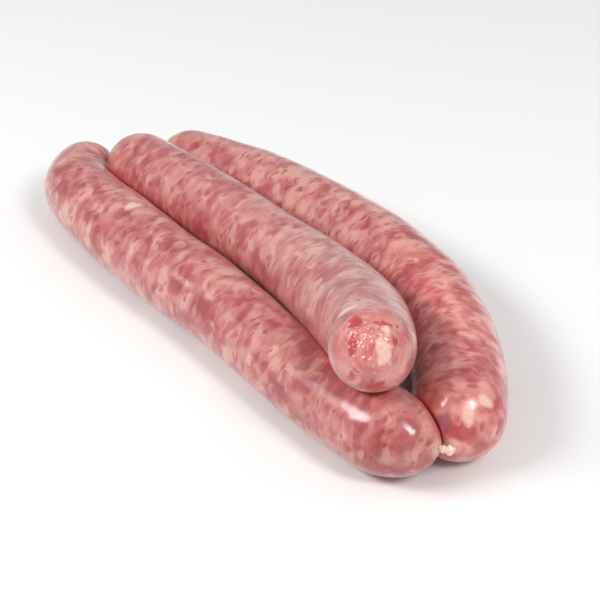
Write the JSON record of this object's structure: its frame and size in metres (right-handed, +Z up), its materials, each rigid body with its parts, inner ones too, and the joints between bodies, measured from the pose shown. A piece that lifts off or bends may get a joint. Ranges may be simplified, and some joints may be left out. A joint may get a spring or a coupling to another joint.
{
  "type": "string of sausage links",
  "caption": "String of raw coarse pork sausage links in one casing, lying as a small heap, with a twist between the links and bare meat at the cut end.",
  "frame": {"origin": "centre of the heap's bounding box, on the table that it lies on", "axes": "+X along the links, from the back of the heap to the cut end and the front twist; +Z up"},
  "size_m": [0.2684, 0.1076, 0.0621],
  "materials": {
    "raw_sausage": "moist, smooth and slightly see-through casing over coarse pink meat with cream flecks of fat"
  },
  "bodies": {
    "root": {"sausage_string": "raw_sausage"}
  },
  "joints": []
}
